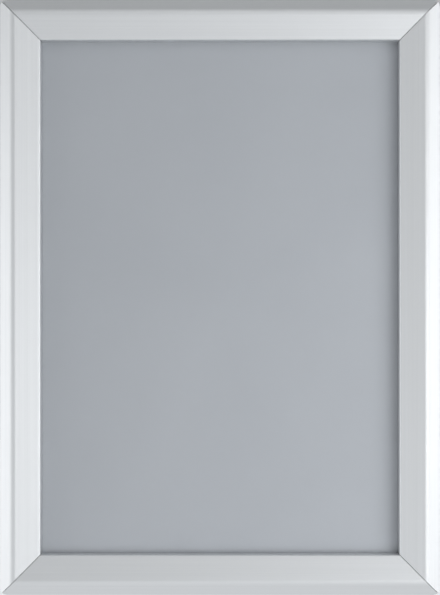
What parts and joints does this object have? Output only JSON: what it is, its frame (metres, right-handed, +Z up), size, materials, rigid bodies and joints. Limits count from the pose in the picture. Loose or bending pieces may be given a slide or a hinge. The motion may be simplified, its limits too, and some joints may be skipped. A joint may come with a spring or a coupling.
{
  "type": "clip frame",
  "caption": "Upright snap-open poster frame: mitred silver aluminium clip rails hinge open on a base frame round a clear cover sheet and a grey backing panel.",
  "frame": {"origin": "on the wall plane, at the centre of the rectangle of wall-screw holes", "axes": "+Z up along the frame's height, +X across to the viewer's right, +Y into the wall, front faces -Y"},
  "size_m": [0.247, 0.0114, 0.334],
  "materials": {
    "clip_aluminium": "satin silver anodised",
    "base_aluminium": "satin mill finish",
    "spring_steel": "tempered, bright",
    "key_zinc": "zinc plated",
    "screw_black": "black oxide",
    "panel_grey": "matt",
    "sheet_clear": "clear, anti-glare"
  },
  "bodies": {
    "base_frame": {"base_rail_top": "base_aluminium", "base_rail_bottom": "base_aluminium", "base_rail_left": "base_aluminium", "base_rail_right": "base_aluminium", "corner_key_top_left": "key_zinc", "corner_key_top_right": "key_zinc", "corner_key_bottom_left": "key_zinc", "corner_key_bottom_right": "key_zinc", "set_screws_top_left": "screw_black", "set_screws_top_right": "screw_black", "set_screws_bottom_left": "screw_black", "set_screws_bottom_right": "screw_black", "backing_panel": "panel_grey", "cover_sheet": "sheet_clear"},
    "clip_top": {"clip_rail_top": "clip_aluminium"},
    "springs_top": {"leaf_spring_top_1": "spring_steel", "leaf_spring_top_2": "spring_steel"},
    "clip_bottom": {"clip_rail_bottom": "clip_aluminium"},
    "springs_bottom": {"leaf_spring_bottom_1": "spring_steel", "leaf_spring_bottom_2": "spring_steel"},
    "clip_left": {"clip_rail_left": "clip_aluminium"},
    "springs_left": {"leaf_spring_left_1": "spring_steel", "leaf_spring_left_2": "spring_steel"},
    "clip_right": {"clip_rail_right": "clip_aluminium"},
    "springs_right": {"leaf_spring_right_1": "spring_steel", "leaf_spring_right_2": "spring_steel"}
  },
  "joints": [
    {"name": "clip_top_hinge", "type": "hinge", "parent": "base_frame", "child": "clip_top", "pos_m": [0, -0.005, 0.16486], "axis": [-1, 0, 0], "range_deg": [0, 100], "deforming": ["leaf_spring_top_1", "leaf_spring_top_2"]},
    {"name": "spring_top_pivot", "type": "hinge", "parent": "base_frame", "child": "springs_top", "pos_m": [0, -0.00629, 0.1562], "axis": [-1, 0, 0], "range_deg": [-35.77, 0]},
    {"name": "clip_bottom_hinge", "type": "hinge", "parent": "base_frame", "child": "clip_bottom", "pos_m": [0, -0.005, -0.16486], "axis": [1, 0, 0], "range_deg": [0, 100], "deforming": ["leaf_spring_bottom_1", "leaf_spring_bottom_2"]},
    {"name": "spring_bottom_pivot", "type": "hinge", "parent": "base_frame", "child": "springs_bottom", "pos_m": [0, -0.00629, -0.1562], "axis": [1, 0, 0], "range_deg": [-35.77, 0]},
    {"name": "clip_left_hinge", "type": "hinge", "parent": "base_frame", "child": "clip_left", "pos_m": [-0.12136, -0.005, 0], "axis": [0, 0, -1], "range_deg": [0, 100], "deforming": ["leaf_spring_left_1", "leaf_spring_left_2"]},
    {"name": "spring_left_pivot", "type": "hinge", "parent": "base_frame", "child": "springs_left", "pos_m": [-0.1127, -0.00629, 0], "axis": [0, 0, -1], "range_deg": [-35.77, 0]},
    {"name": "clip_right_hinge", "type": "hinge", "parent": "base_frame", "child": "clip_right", "pos_m": [0.12136, -0.005, 0], "axis": [0, 0, 1], "range_deg": [0, 100], "deforming": ["leaf_spring_right_1", "leaf_spring_right_2"]},
    {"name": "spring_right_pivot", "type": "hinge", "parent": "base_frame", "child": "springs_right", "pos_m": [0.1127, -0.00629, 0], "axis": [0, 0, 1], "range_deg": [-35.77, 0]}
  ],
  "couplings": [
    {"joint": "spring_top_pivot", "follows": "clip_top_hinge", "ratio": -0.35761},
    {"joint": "spring_bottom_pivot", "follows": "clip_bottom_hinge", "ratio": -0.35761},
    {"joint": "spring_left_pivot", "follows": "clip_left_hinge", "ratio": -0.35761},
    {"joint": "spring_right_pivot", "follows": "clip_right_hinge", "ratio": -0.35761}
  ]
}
